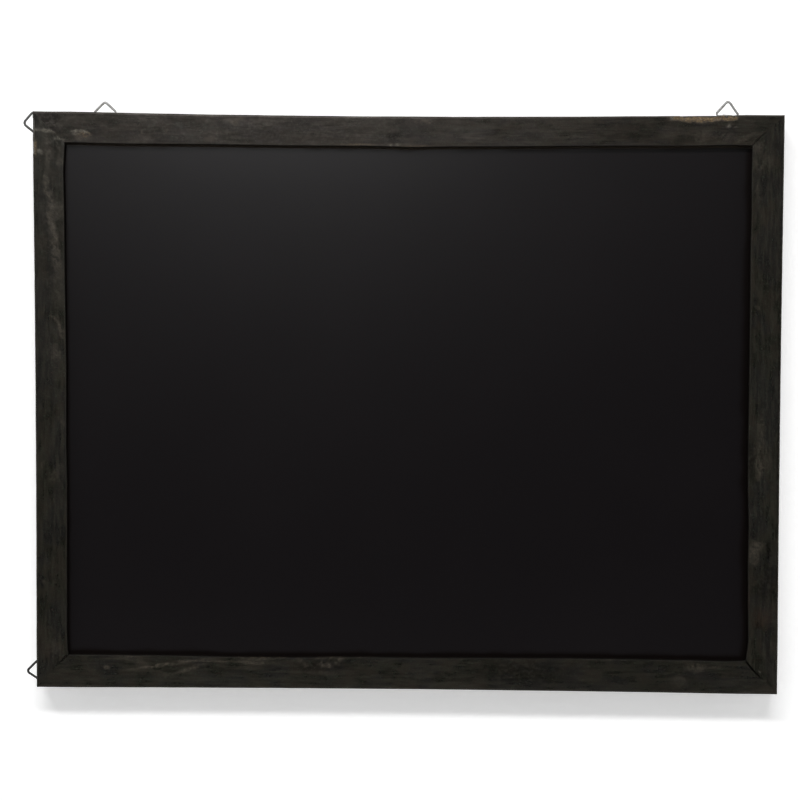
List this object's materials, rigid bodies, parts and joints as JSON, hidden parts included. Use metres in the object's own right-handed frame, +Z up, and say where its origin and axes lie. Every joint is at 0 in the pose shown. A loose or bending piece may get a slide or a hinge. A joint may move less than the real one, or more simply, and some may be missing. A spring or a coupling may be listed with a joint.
{
  "type": "wall chalkboard",
  "caption": "Wall chalkboard: a matt black writing panel in a mitred frame of rough black-stained slats, with folding triangular wire hangers at the top and left edges.",
  "frame": {"origin": "middle of the top rail's flat back face, which faces the wall", "axes": "+X to the right seen from the front, +Y into the wall, +Z up; the writing side faces -Y"},
  "size_m": [0.7946, 0.0237, 0.6198],
  "materials": {
    "stained_wood": "rough black stain, worn",
    "board_paint": "matt board paint on hardboard",
    "nail_steel": "bright sheet steel",
    "strap_steel": "zinc plated",
    "screw_steel": "zinc plated",
    "wire_steel": "drawn wire"
  },
  "bodies": {
    "frame": {"top_rail": "stained_wood", "bottom_rail": "stained_wood", "left_stile": "stained_wood", "right_stile": "stained_wood", "writing_panel": "board_paint", "corner_nail_top_left_outer": "nail_steel", "corner_nail_top_left_inner": "nail_steel", "corner_nail_top_right_outer": "nail_steel", "corner_nail_top_right_inner": "nail_steel", "corner_nail_bottom_right_outer": "nail_steel", "corner_nail_bottom_right_inner": "nail_steel", "corner_nail_bottom_left_outer": "nail_steel", "corner_nail_bottom_left_inner": "nail_steel", "panel_point_top_rail_1": "nail_steel", "panel_point_top_rail_2": "nail_steel", "panel_point_top_rail_3": "nail_steel", "panel_point_top_rail_4": "nail_steel", "panel_point_bottom_rail_1": "nail_steel", "panel_point_bottom_rail_2": "nail_steel", "panel_point_bottom_rail_3": "nail_steel", "panel_point_bottom_rail_4": "nail_steel", "panel_point_left_stile_1": "nail_steel", "panel_point_left_stile_2": "nail_steel", "panel_point_left_stile_3": "nail_steel", "panel_point_right_stile_1": "nail_steel", "panel_point_right_stile_2": "nail_steel", "panel_point_right_stile_3": "nail_steel", "hanger_strap_top_left": "strap_steel", "hanger_strap_top_right": "strap_steel", "hanger_strap_left_upper": "strap_steel", "hanger_strap_left_lower": "strap_steel", "hanger_screw_top_left": "screw_steel", "hanger_screw_top_right": "screw_steel", "hanger_screw_left_upper": "screw_steel", "hanger_screw_left_lower": "screw_steel"},
    "ring_top_left": {"hanger_ring_top_left": "wire_steel"},
    "ring_top_right": {"hanger_ring_top_right": "wire_steel"},
    "ring_left_upper": {"hanger_ring_left_upper": "wire_steel"},
    "ring_left_lower": {"hanger_ring_left_lower": "wire_steel"}
  },
  "joints": [
    {"name": "ring_hinge_top_left", "type": "hinge", "parent": "frame", "child": "ring_top_left", "pos_m": [-0.31831, 0.00195, 0.01292], "axis": [-0.9997, 0, -0.0244], "range_deg": [-65, 160]},
    {"name": "ring_hinge_top_right", "type": "hinge", "parent": "frame", "child": "ring_top_right", "pos_m": [0.33302, 0.00195, 0.01313], "axis": [-0.9983, 0, 0.0576], "range_deg": [-58, 160]},
    {"name": "ring_hinge_left_upper", "type": "hinge", "parent": "frame", "child": "ring_left_upper", "pos_m": [-0.39209, 0.00195, 0.00439], "axis": [0.0976, 0, -0.9952], "range_deg": [-85, 160]},
    {"name": "ring_hinge_left_lower", "type": "hinge", "parent": "frame", "child": "ring_left_lower", "pos_m": [-0.3899, 0.00195, -0.57639], "axis": [0.1028, 0, -0.9947], "range_deg": [-43, 160]}
  ]
}
